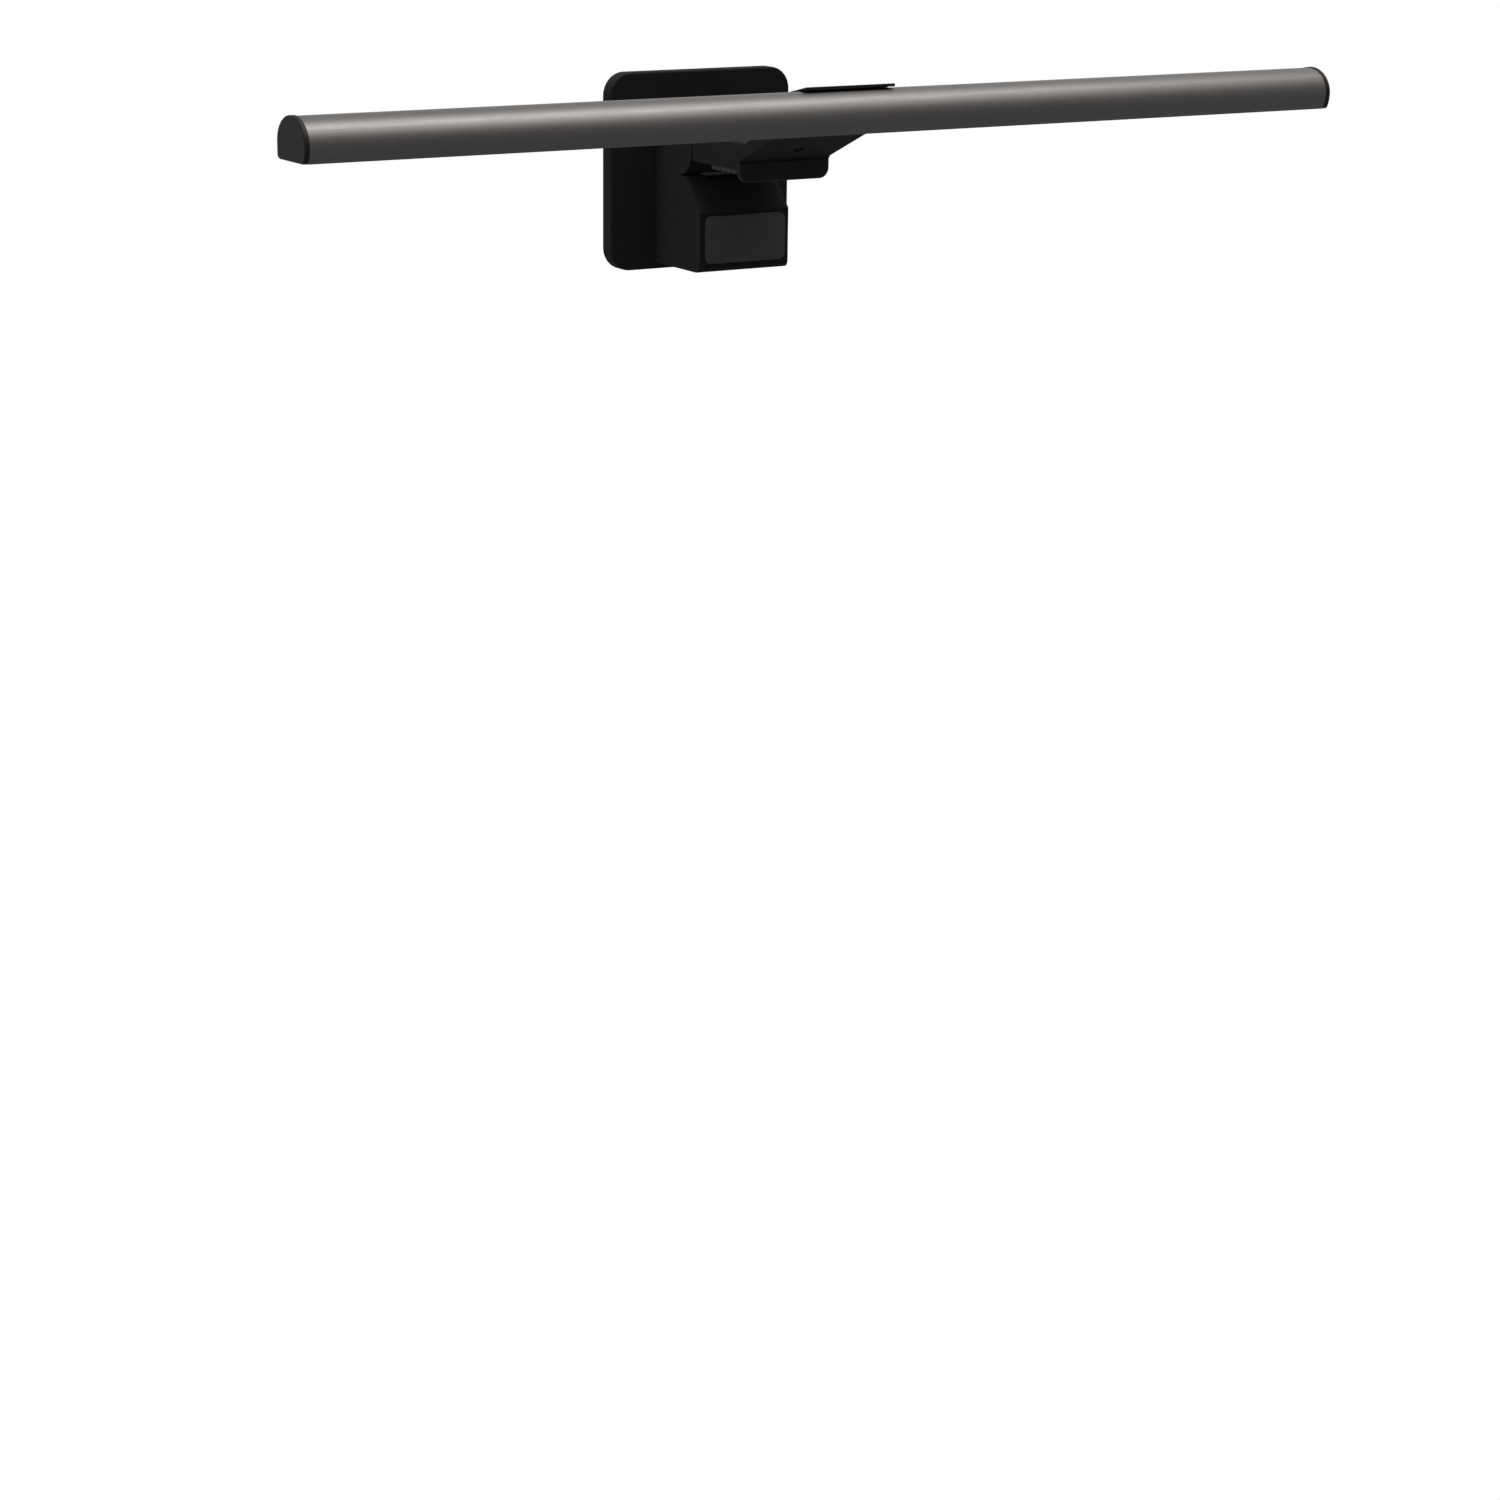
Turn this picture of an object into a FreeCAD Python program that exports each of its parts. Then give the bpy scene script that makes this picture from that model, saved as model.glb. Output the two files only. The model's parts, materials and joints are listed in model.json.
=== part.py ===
import FreeCAD, Part
import math
import os

# Monitor light bar: a hinged lamp that sits on the top edge of a monitor.
# Millimetres. +X runs along the lamp, +Y points behind the monitor, +Z is up.
# The origin is the middle of the seat pad's underside, which rests on the monitor's top edge.

V = FreeCAD.Vector
CENTRE = V(0, 0, 0)
ALONG_X = V(1, 0, 0)
ALONG_Y = V(0, 1, 0)
ALONG_Z = V(0, 0, 1)

# Clearances
shaft_gap = 0.05            # radial gap round a turning pin
slip_gap = 0.15             # gap round a piece that slides in and stays
body_gap = 0.5              # gap between pieces of different bodies
seat_gap = 0.1              # gap between curved faces that are fixed together

# Lamp
bar_length = 500.0
bar_depth = 25.0
bar_height = 17.2
bar_side_height = 6.8       # widest level above the underside
bar_side_sweep = 13.3       # half-height of the ellipse that the front side follows below that level
bar_wall = 1.3
bar_middle_y = -62.0
bar_bottom_z = 21.8
slot_width = 16.0           # light opening in the lamp's underside
diffuser_flange = 1.7       # how far the diffuser's flange reaches over each lip
diffuser_flange_thick = 1.0
shelf_height = 7.0          # underside of the inner shelf above the lamp's underside
shelf_thick = 1.2
led_board_width = 12.0
led_board_thick = 1.0
led_board_margin = 6.0      # board stops this far from each end of the extrusion
led_count = 48
led_length = 3.5
led_width = 2.8
led_thick = 0.7
led_window_gap = 0.3
reflector_skin = 0.5
reflector_wall = 0.8
cap_thick = 2.1
cap_proud = 0.3             # the caps stand this far outside the extrusion
cap_chamfer = 0.4
cap_corner = 2.0
cap_spigot = 5.0

# Tilt hinge and the saddle behind the lamp
tilt_axis_offset = 6.5      # axis behind the lamp's rear wall
tilt_axis_z = 30.0
knuckle_radius = 5.8
neck_knuckle_half = 13.0
washer_thick = 0.8
washer_gap = 0.1
saddle_half = 22.0
saddle_front_overhang = 3.7     # saddle reaches this far in front of the lamp's ridge
saddle_rise = 2.1               # saddle stands this far above the lamp's ridge
saddle_slope = 13.0             # degrees, its top falls towards the back
saddle_corner = 0.8
saddle_lip_thick = 1.3
saddle_seat_start = 2.0         # saddle sits on the dome from here back, behind the lamp's ridge
tilt_pin_radius = 2.0
pin_cap_thick = 1.5
pin_cap_edge = 1.5              # cap is this much wider than its pin
saddle_screw_radius = 1.0
saddle_screw_angle = 45.0       # place round the domed top, from the rear

# Arm over the monitor
arm_width = 45.2
arm_height = 10.0
cover_thick = 2.0
arm_wall = 1.8
seat_pad_thick = 2.0
seat_pad_depth = 22.0
seat_rib_count = 5
seat_rib_depth = 0.6
hook_front_y = -15.0
hook_plate_thick = 2.2
hook_drop = 3.4                 # hook reaches this far below the monitor's top edge
hook_top_z = 5.2
hook_corner = 4.5
hook_chamfer = 0.5
hook_flange_depth = 9.8
hook_flange_thick = 1.4
hook_flange_width = 26.0
lip_pad_thick = 0.8
lip_pad_margin = 0.5            # pad ends this far above the hook's lower edge
neck_slope = 23.3               # degrees, underside of the neck rises towards the lamp
neck_bend_radius = 1.2          # where the underside of the neck bends down to the hook
neck_bend_steps = 6
neck_front_y = -43.0
neck_front_width = 45.4
sensor_back = 11.2              # sensor's distance in front of the hook along Y
sensor_radius = 1.5
sensor_ring_width = 1.0
sensor_depth = 5.0
small_screw_radius = 1.0
small_head_radius = 1.8
small_head_thick = 0.8

# Rear hinge and leg
leg_axis_y = 36.0
leg_axis_z = 6.0
tongue_half = 12.0
tongue_barrel_radius = 6.5
cheek_radius = 11.0
leg_pin_radius = 2.5
bush_wall = 1.2
bush_length = 5.5
spring_wire = 1.0
spring_coil_radius = 4.2
spring_turns = 6
jaw_depth = 28.0                # from the lip pad to the leg pad at rest
leg_pad_thick = 1.5
leg_pad_top_z = -20.0
leg_bottom_z = -46.0
leg_wall = 3.2
weight_gap = 0.4

# Backlight housing, the plate behind the monitor
plate_front_y = 55.2
plate_width = 91.7
plate_top_z = 37.5
plate_bottom_z = -48.7
plate_corner = 10.0
plate_shell_thick = 5.5
bezel_thick = 2.0
plate_wall = 2.0
window_width = 76.0
window_bottom_z = -38.0
window_top_z = 31.0
window_corner = 6.0
window_rebate = 2.0
window_recess = 0.4
back_board_thick = 1.2
back_led_columns = 7
back_led_rows = 5
back_led_size = 3.0
back_led_thick = 0.8
inlet_width = 8.9
inlet_height = 3.2
inlet_depth = 7.3
inlet_wall = 0.35
leg_screw_radius = 1.2
leg_screw_head = 2.2

# Places that follow from the sizes above
bar_rear_y = bar_middle_y + bar_depth / 2
bar_top_z = bar_bottom_z + bar_height
dome_base_z = bar_bottom_z + bar_side_height
dome_height = bar_height - bar_side_height
profile_half = bar_length / 2 - cap_thick
shelf_under_z = bar_bottom_z + shelf_height
shelf_top_z = shelf_under_z + shelf_thick
board_half = profile_half - led_board_margin
tilt_axis_y = bar_rear_y + tilt_axis_offset
saddle_knuckle_start = neck_knuckle_half + washer_thick + 2 * washer_gap
arm_half = arm_width / 2
arm_bottom_z = seat_pad_thick
arm_top_z = arm_bottom_z + arm_height
hook_rear_y = hook_front_y + hook_plate_thick
monitor_front_y = hook_rear_y + lip_pad_thick
arm_rear_y = leg_axis_y - cheek_radius - 2 * body_gap
cheek_start = tongue_half + body_gap
leg_pad_front_y = monitor_front_y + jaw_depth
leg_front_y = leg_pad_front_y + leg_pad_thick
shell_back_y = plate_front_y + plate_shell_thick
plate_back_y = shell_back_y + bezel_thick


def box(x0, x1, y0, y1, z0, z1):
    return Part.makeBox(x1 - x0, y1 - y0, z1 - z0, V(x0, y0, z0))


def rod_x(radius, x0, x1, y, z):
    return Part.makeCylinder(radius, x1 - x0, V(x0, y, z), ALONG_X)


def rod_y(radius, y0, y1, x, z):
    return Part.makeCylinder(radius, y1 - y0, V(x, y0, z), ALONG_Y)


def rod_z(radius, z0, z1, x, y):
    return Part.makeCylinder(radius, z1 - z0, V(x, y, z0), ALONG_Z)


def prism_x(outline, x0, x1):
    """Side outline of (y, z) points, carried from x0 to x1."""
    corners = [V(x0, y, z) for y, z in outline]
    wire = Part.makePolygon(corners + corners[:1])
    return Part.Face(wire).extrude(V(x1 - x0, 0, 0))


def prism_z(outline, z0, z1):
    """Plan outline of (x, y) points, carried from z0 to z1."""
    corners = [V(x, y, z0) for x, y in outline]
    wire = Part.makePolygon(corners + corners[:1])
    return Part.Face(wire).extrude(V(0, 0, z1 - z0))


def round_corners(shape, direction, radius, keep):
    """Fillet the straight edges along a direction whose middle passes keep(point)."""
    chosen = []
    for edge in shape.Edges:
        if len(edge.Vertexes) < 2:
            continue
        reach = edge.Vertexes[1].Point - edge.Vertexes[0].Point
        straight = reach.Length > edge.Length * 0.999999
        along = abs(reach.dot(direction)) > edge.Length * 0.999
        if straight and along and keep(edge.CenterOfMass):
            chosen.append(edge)
    return shape.makeFillet(radius, chosen)


def rounded_slab_y(half_width, z0, z1, corner, y0, y1):
    """Upright slab with its four corners rounded, seen along Y."""
    slab = box(-half_width, half_width, y0, y1, z0, z1)
    return round_corners(slab, ALONG_Y, corner, lambda point: True)


def both_sides(shape):
    """A shape and its mirror image across the middle plane."""
    return [shape, shape.mirror(CENTRE, ALONG_X)]


def fuse(pieces):
    return pieces[0].multiFuse(pieces[1:]).removeSplitter()


def screw(base, direction, radius, head_radius, head_thick, length):
    """Screw whose head's outer face is at base and whose shank runs along direction."""
    head = Part.makeCylinder(head_radius, head_thick, base, direction)
    shank = Part.makeCylinder(radius, length, base, direction)
    return head.fuse(shank).removeSplitter()


def save(name, shape):
    solid = shape.Solids[0] if len(shape.Solids) == 1 else Part.makeCompound(shape.Solids)
    solid.exportStep("parts/" + name + ".step")
    sizes = solid.BoundBox
    print("%-24s solids %2d  volume %10.1f  valid %s  %6.1f x %6.1f x %6.1f" % (
        name, len(shape.Solids), solid.Volume, solid.isValid(),
        sizes.XLength, sizes.YLength, sizes.ZLength))


# Lamp

def lamp_profile(inset, x0, x1, floor_inset=None):
    """Body with a half-elliptical top, a front side that draws in and an upright rear, inset all round."""
    floor_inset = inset if floor_inset is None else floor_inset
    half = bar_depth / 2 - inset
    rise = dome_height - inset
    base_z = bar_bottom_z + floor_inset
    left = bar_middle_y - half
    right = bar_middle_y + half
    dome = ellipse_rod(half, rise, x0, x1)
    dome = dome.common(box(x0, x1, left - 1, right + 1, dome_base_z, bar_top_z + 1))
    front = ellipse_rod(half, bar_side_sweep - inset, x0, x1)
    front = front.common(box(x0, x1, left - 1, bar_middle_y, base_z, dome_base_z))
    rear = box(x0, x1, bar_middle_y, right, base_z, dome_base_z)
    return dome.fuse(front).fuse(rear).removeSplitter()


def ellipse_rod(half_depth, half_height, x0, x1):
    """Elliptical rod along X about the lamp's widest level."""
    middle = V(x0, bar_middle_y, dome_base_z)
    across = V(0, half_depth, 0)
    upright = V(0, 0, half_height)
    longer = upright if half_height > half_depth else across
    shorter = across if half_height > half_depth else upright
    ellipse = Part.Ellipse(middle + longer, middle + shorter, middle)
    return Part.Face(Part.Wire(ellipse.toShape())).extrude(V(x1 - x0, 0, 0))


def dome_point(angle, inset=0.0):
    """Point and outward direction on the domed top, angle in degrees from the rear."""
    turn = math.radians(angle)
    half = bar_depth / 2
    point = V(0, bar_middle_y + half * math.cos(turn), dome_base_z + dome_height * math.sin(turn))
    outward = V(0, math.cos(turn) / half, math.sin(turn) / dome_height)
    outward.normalize()
    return point - outward * inset, outward


def saddle_screw_places():
    middle = (saddle_knuckle_start + saddle_half) / 2
    offset = (saddle_half - saddle_knuckle_start) / 4
    return [side * (middle + step * offset) for side in (-1, 1) for step in (-1, 1)]


def bar_extrusion():
    shell = lamp_profile(0, -profile_half, profile_half)
    shell = shell.cut(lamp_profile(bar_wall, -profile_half - 1, profile_half + 1))
    half_slot = slot_width / 2
    slot = box(-profile_half - 1, profile_half + 1, bar_middle_y - half_slot, bar_middle_y + half_slot,
               bar_bottom_z - 1, bar_bottom_z + bar_wall + 1)
    shelf = box(-profile_half, profile_half, bar_middle_y - bar_depth / 2, bar_middle_y + bar_depth / 2,
                shelf_under_z, shelf_top_z)
    shelf = shelf.common(lamp_profile(bar_wall / 2, -profile_half, profile_half))
    body = shell.cut(slot).fuse(shelf)
    point, outward = dome_point(saddle_screw_angle, bar_wall * 2)
    for x in saddle_screw_places():
        body = body.cut(Part.makeCylinder(saddle_screw_radius + seat_gap, bar_wall * 4,
                                          V(x, point.y, point.z), outward))
    return body.removeSplitter()


def bar_diffuser():
    half = slot_width / 2 - seat_gap
    lens = box(-profile_half, profile_half, bar_middle_y - half, bar_middle_y + half,
               bar_bottom_z, bar_bottom_z + bar_wall)
    reach = slot_width / 2 + diffuser_flange
    flange_z = bar_bottom_z + bar_wall
    flange = box(-profile_half, profile_half, bar_middle_y - reach, bar_middle_y + reach,
                 flange_z, flange_z + diffuser_flange_thick)
    return fuse([lens, flange])


def bar_led_board():
    half = led_board_width / 2
    return box(-board_half, board_half, bar_middle_y - half, bar_middle_y + half,
               shelf_under_z - led_board_thick, shelf_under_z)


def led_places():
    pitch = 2 * (board_half - led_board_margin) / (led_count - 1)
    return [(index - (led_count - 1) / 2) * pitch for index in range(led_count)]


def led_block(x, margin, z0, z1):
    half_x = led_length / 2 + margin
    half_y = led_width / 2 + margin
    return box(x - half_x, x + half_x, bar_middle_y - half_y, bar_middle_y + half_y, z0, z1)


def bar_leds():
    top = shelf_under_z - led_board_thick
    return Part.makeCompound([led_block(x, 0, top - led_thick, top) for x in led_places()])


def bar_reflector():
    top = shelf_under_z - led_board_thick
    floor = bar_bottom_z + bar_wall + diffuser_flange_thick
    half_top = led_board_width / 2
    half_floor = slot_width / 2

    def trough(grow, z0, z1):
        outline = [(bar_middle_y - half_floor - grow, z0), (bar_middle_y - half_top - grow, z1),
                   (bar_middle_y + half_top + grow, z1), (bar_middle_y + half_floor + grow, z0)]
        return prism_x(outline, -board_half, board_half)

    body = trough(0, floor, top).cut(trough(-reflector_wall, floor, top - reflector_skin))
    windows = [led_block(x, led_window_gap, top - led_thick - 1, top + 1) for x in led_places()]
    return body.cut(Part.makeCompound(windows))


def end_cap(side):
    inner = profile_half
    outer = profile_half + cap_thick
    plate = lamp_profile(-cap_proud, inner, outer, 0)
    plate = round_corners(plate, ALONG_X, cap_corner, lambda point: point.z < bar_bottom_z + 0.1)
    rim = [edge for edge in plate.Edges if abs(edge.CenterOfMass.x - outer) < 0.01]
    plate = plate.makeChamfer(cap_chamfer, rim)
    spigot = lamp_profile(bar_wall + slip_gap, inner - cap_spigot, inner)
    above = box(inner - cap_spigot, inner, bar_middle_y - bar_depth, bar_middle_y + bar_depth,
                shelf_top_z + slip_gap, bar_top_z + 1)
    cap = plate.fuse(spigot.common(above)).removeSplitter()
    return cap if side > 0 else cap.mirror(CENTRE, ALONG_X)


def bar_saddle():
    front_y = bar_middle_y - saddle_front_overhang
    top_z = bar_top_z + saddle_rise
    fall = math.tan(math.radians(saddle_slope))
    shoulder_y = tilt_axis_y - knuckle_radius
    shoulder_z = top_z - (shoulder_y - front_y) * fall
    lean = math.radians(70)
    tangent = (tilt_axis_y + knuckle_radius * math.cos(lean), tilt_axis_z + knuckle_radius * math.sin(lean))
    seat_y = bar_middle_y + saddle_seat_start
    lip_z = top_z - saddle_lip_thick
    outline = [(seat_y, dome_base_z), (seat_y, lip_z - saddle_seat_start * fall), (front_y, lip_z),
               (front_y, top_z), (shoulder_y, shoulder_z), tangent,
               (tilt_axis_y, tilt_axis_z), (tilt_axis_y - 2, tilt_axis_z - knuckle_radius + 0.4),
               (bar_rear_y - 1, tilt_axis_z - knuckle_radius - 1), (bar_rear_y - 4, dome_base_z)]
    block = prism_x(outline, -saddle_half, saddle_half)
    block = block.fuse(rod_x(knuckle_radius, -saddle_half, saddle_half, tilt_axis_y, tilt_axis_z))
    plan = box(-saddle_half, saddle_half, front_y, tilt_axis_y + knuckle_radius + 1,
               bar_bottom_z - 1, top_z + 1)
    plan = round_corners(plan, ALONG_Z, saddle_corner, lambda point: point.y < front_y + 1)
    block = block.common(plan)
    block = block.cut(lamp_profile(-seat_gap, -saddle_half - 1, saddle_half + 1))
    gap_half = saddle_knuckle_start
    block = block.cut(rod_x(knuckle_radius + body_gap, -gap_half, gap_half, tilt_axis_y, tilt_axis_z))
    block = block.cut(box(-gap_half, gap_half, bar_rear_y - 1, tilt_axis_y + knuckle_radius + 1,
                          bar_bottom_z - 1, tilt_axis_z + knuckle_radius / 2))
    block = block.cut(rod_x(tilt_pin_radius + shaft_gap, -saddle_half - 1, saddle_half + 1,
                            tilt_axis_y, tilt_axis_z))
    cap_radius = tilt_pin_radius + pin_cap_edge + seat_gap
    for pocket in both_sides(rod_x(cap_radius, saddle_half - pin_cap_thick, saddle_half + 1,
                                   tilt_axis_y, tilt_axis_z)):
        block = block.cut(pocket)
    point, outward = dome_point(saddle_screw_angle, bar_wall)
    for x in saddle_screw_places():
        block = block.cut(Part.makeCylinder(saddle_screw_radius + shaft_gap, saddle_screw_reach(),
                                            V(x, point.y, point.z), outward))
    return block.removeSplitter()


def saddle_screw_reach():
    return bar_wall + seat_gap + 2.6


def saddle_screws():
    point, outward = dome_point(saddle_screw_angle, bar_wall + small_head_thick + slip_gap)
    length = small_head_thick + slip_gap + saddle_screw_reach() - seat_gap
    return Part.makeCompound([screw(V(x, point.y, point.z), outward, saddle_screw_radius,
                                    small_head_radius * 0.85, small_head_thick, length)
                              for x in saddle_screw_places()])


def pin_caps(pin_radius, half_width, y, z):
    radius = pin_radius + pin_cap_edge
    return Part.makeCompound(both_sides(rod_x(radius, half_width - pin_cap_thick, half_width, y, z)))


# Arm

def neck_bend_reach():
    """Distance from the corner that the bend rounds to where the bend starts and ends."""
    return neck_bend_radius / math.tan(math.radians(90 + neck_slope) / 2)


def neck_under_z(y):
    return hook_top_z + neck_bend_reach() + (hook_front_y - y) * math.tan(math.radians(neck_slope))


def neck_bend():
    """Points (y, z) round the bend, from the hook's top to the underside of the neck."""
    points = []
    for step in range(neck_bend_steps + 1):
        turn = math.radians((90 - neck_slope) * step / neck_bend_steps)
        points.append((hook_front_y - neck_bend_radius * (1 - math.cos(turn)),
                       hook_top_z + neck_bend_radius * math.sin(turn)))
    return points


def arm_screw_places():
    return [(side * (arm_half - 6.5), y) for side in (-1, 1) for y in (-4.0, arm_rear_y - 6.0)]


def sensor_seat():
    lean = math.radians(neck_slope)
    y = hook_front_y - sensor_back
    outward = V(0, -math.sin(lean), -math.cos(lean))
    return V(0, y, neck_under_z(y)), outward


def arm_housing():
    tip_z = neck_under_z(neck_front_y)
    neck_back_y = hook_front_y - 5.0
    outline = neck_bend() + [(neck_front_y, tip_z),
               (neck_front_y + 1.0, tip_z + 2.2), (neck_front_y + 4.5, tip_z + 5.2),
               (neck_back_y, arm_top_z + cover_thick), (neck_back_y, arm_top_z), (arm_rear_y, arm_top_z),
               (arm_rear_y, arm_bottom_z), (hook_rear_y, arm_bottom_z), (hook_rear_y, hook_top_z)]
    body = prism_x(outline, -arm_half, arm_half)
    front_half = neck_front_width / 2
    plan = [(-arm_half, arm_rear_y), (-arm_half, hook_front_y), (-front_half, neck_front_y),
            (front_half, neck_front_y), (arm_half, hook_front_y), (arm_half, arm_rear_y)]
    body = body.common(prism_z(plan, 0, tilt_axis_z))
    web = [(neck_front_y - 0.5, tip_z + 0.8), (tilt_axis_y, tilt_axis_z - knuckle_radius + 1),
           (tilt_axis_y + knuckle_radius - 0.6, tilt_axis_z + 2), (neck_front_y + 11, tip_z + 2.6),
           (neck_front_y + 5, tip_z - 1.0)]
    tongue = box(-tongue_half, tongue_half, arm_rear_y - 4, leg_axis_y, arm_bottom_z, arm_top_z)
    body = fuse([body, prism_x(web, -neck_knuckle_half, neck_knuckle_half),
                 rod_x(knuckle_radius, -neck_knuckle_half, neck_knuckle_half, tilt_axis_y, tilt_axis_z),
                 tongue,
                 rod_x(tongue_barrel_radius, -tongue_half, tongue_half, leg_axis_y, leg_axis_z)])
    hollow = box(-arm_half + arm_wall, arm_half - arm_wall, hook_front_y + 3, arm_rear_y - arm_wall,
                 arm_bottom_z + hook_flange_thick + 1.2, arm_top_z + 1)
    body = body.cut(hollow)
    for x, y in arm_screw_places():
        body = body.fuse(rod_z(3.0, arm_bottom_z + 2.0, arm_top_z, x, y))
    for rib in both_sides(box(7.0, 9.0, hook_front_y + 4, arm_rear_y - 3,
                              arm_bottom_z + 2.4, board_floor_z())):
        body = body.fuse(rib)
    for x, y in arm_screw_places():
        body = body.cut(rod_z(small_screw_radius + shaft_gap, 0, arm_top_z + 1, x, y))
        body = body.cut(rod_z(small_head_radius + slip_gap, 0, arm_bottom_z + small_head_thick + slip_gap,
                              x, y))
    half_flange = hook_flange_width / 2
    body = body.cut(box(-half_flange, half_flange, hook_front_y, hook_rear_y + hook_flange_depth,
                        0, arm_bottom_z + hook_flange_thick))
    for x in (-10.0, 10.0):
        body = body.cut(rod_z(small_screw_radius + shaft_gap, 0, arm_bottom_z + hook_flange_thick + 1.2,
                              x, hook_screw_y()))
    body = body.cut(rod_x(tilt_pin_radius + shaft_gap, -arm_half, arm_half, tilt_axis_y, tilt_axis_z))
    seat, outward = sensor_seat()
    body = body.cut(Part.makeCylinder(sensor_radius + sensor_ring_width + seat_gap, sensor_depth + 1.0,
                                      seat + outward, outward * -1))
    body = body.cut(rod_x(leg_pin_radius + bush_wall + seat_gap / 4, -arm_half, arm_half,
                          leg_axis_y, leg_axis_z))
    pocket_half = tongue_half - bush_length - body_gap
    pocket_radius = spring_coil_radius + spring_wire / 2 + body_gap
    body = body.cut(rod_x(pocket_radius, -pocket_half, pocket_half, leg_axis_y, leg_axis_z))
    body = body.cut(box(-pocket_half, pocket_half, leg_axis_y - pocket_radius, leg_axis_y + pocket_radius,
                        leg_axis_z - tongue_barrel_radius - 1, leg_axis_z))
    return body.removeSplitter()


def board_floor_z():
    return arm_bottom_z + 3.4


def hook_screw_y():
    return hook_rear_y + hook_flange_depth / 2 + 1.0


def arm_top_cover():
    lid = box(-arm_half, arm_half, hook_front_y - 5.0, arm_rear_y, arm_top_z, arm_top_z + cover_thick)
    lid = round_corners(lid, ALONG_Z, 2.0, lambda point: point.y > 0)
    lip = box(-arm_half + arm_wall + slip_gap, arm_half - arm_wall - slip_gap, hook_front_y + 4.0,
              hook_front_y + 5.2, arm_top_z - 1.0, arm_top_z)
    rim = [edge for edge in lid.Edges if edge.CenterOfMass.z > arm_top_z + cover_thick - 0.01
           and edge.CenterOfMass.y > hook_front_y - 4.9]
    lid = lid.makeChamfer(0.8, rim).fuse(lip)
    for x, y in arm_screw_places():
        lid = lid.cut(rod_z(small_screw_radius + shaft_gap, arm_top_z - 1, arm_top_z + 1.3, x, y))
    return lid.removeSplitter()


def cover_screws():
    base_z = arm_bottom_z + slip_gap
    length = arm_top_z + 1.2 - base_z
    return Part.makeCompound([screw(V(x, y, base_z), ALONG_Z, small_screw_radius, small_head_radius,
                                    small_head_thick, length) for x, y in arm_screw_places()])


def front_hook():
    plate = box(-arm_half, arm_half, hook_front_y, hook_rear_y, -hook_drop, hook_top_z)
    plate = round_corners(plate, ALONG_Y, hook_corner, lambda point: point.z < 0)
    rim = [edge for edge in plate.Edges if abs(edge.CenterOfMass.y - hook_front_y) < 0.01]
    plate = plate.makeChamfer(hook_chamfer, rim)
    half_flange = hook_flange_width / 2
    flange = box(-half_flange, half_flange, hook_rear_y, hook_rear_y + hook_flange_depth,
                 arm_bottom_z, arm_bottom_z + hook_flange_thick)
    hook = plate.fuse(flange)
    for x in (-10.0, 10.0):
        hook = hook.cut(rod_z(small_screw_radius + shaft_gap, 0, arm_bottom_z + 5, x, hook_screw_y()))
        hook = hook.cut(rod_z(small_head_radius + slip_gap, 0, arm_bottom_z + small_head_thick,
                              x, hook_screw_y()))
    return hook.removeSplitter()


def hook_screws():
    length = hook_flange_thick + 1.1
    return Part.makeCompound([screw(V(x, hook_screw_y(), arm_bottom_z), ALONG_Z, small_screw_radius,
                                    small_head_radius, small_head_thick, length) for x in (-10.0, 10.0)])


def lip_pad():
    pad = box(-arm_half + 2.5, arm_half - 2.5, hook_rear_y, monitor_front_y,
              -hook_drop + lip_pad_margin, -slip_gap)
    return round_corners(pad, ALONG_Y, 2.0, lambda point: point.z < -hook_drop / 2)


def seat_pad():
    half = seat_pad_depth / 2
    pad = box(-arm_half + 1.0, arm_half - 1.0, -half, half, 0, seat_pad_thick)
    pad = round_corners(pad, ALONG_Z, 2.0, lambda point: True)
    pitch = seat_pad_depth / seat_rib_count
    for index in range(1, seat_rib_count):
        y = -half + index * pitch
        pad = pad.cut(box(-arm_half, arm_half, y - 0.6, y + 0.6, -1, seat_rib_depth))
    return pad


def presence_sensor():
    seat, outward = sensor_seat()
    stem = Part.makeCylinder(sensor_radius, sensor_depth - 0.4, seat - outward * 0.4, outward * -1)
    foot = Part.makeCylinder(sensor_radius + sensor_ring_width, 1.0,
                             seat - outward * (sensor_depth - 1.0), outward * -1)
    return stem.fuse(foot).removeSplitter()


def sensor_ring():
    seat, outward = sensor_seat()
    outer = Part.makeCylinder(sensor_radius + sensor_ring_width, 2.2, seat + outward * 0.2, outward * -1)
    return outer.cut(Part.makeCylinder(sensor_radius + shaft_gap, 4, seat + outward, outward * -1))


def driver_board():
    return box(-12.5, 12.5, hook_front_y + 5, arm_rear_y - 3, board_floor_z(), board_floor_z() + 1.2)


def board_components():
    top = board_floor_z() + 1.2
    parts = [rod_z(3.0, top, top + 3.0, -6.0, 12.0), rod_z(1.8, top, top + 3.5, 6.0, 14.0),
             rod_z(1.8, top, top + 3.5, 6.0, 9.5), box(-4, 4, -1, 7, top, top + 1.1),
             box(-9, -3, -9, -5, top, top + 2.4), box(3, 9, -9, -5, top, top + 2.4)]
    return Part.makeCompound(parts)


def tilt_pin():
    half = saddle_half - pin_cap_thick
    return rod_x(tilt_pin_radius, -half, half, tilt_axis_y, tilt_axis_z)


def friction_washers():
    start = neck_knuckle_half + washer_gap
    ring = rod_x(knuckle_radius - 1, start, start + washer_thick, tilt_axis_y, tilt_axis_z)
    ring = ring.cut(rod_x(tilt_pin_radius + shaft_gap, 0, saddle_half, tilt_axis_y, tilt_axis_z))
    return Part.makeCompound(both_sides(ring))


def leg_bushes():
    ring = rod_x(leg_pin_radius + bush_wall, tongue_half - bush_length, tongue_half, leg_axis_y, leg_axis_z)
    ring = ring.cut(rod_x(leg_pin_radius + shaft_gap, 0, arm_half, leg_axis_y, leg_axis_z))
    return Part.makeCompound(both_sides(ring))


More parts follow.
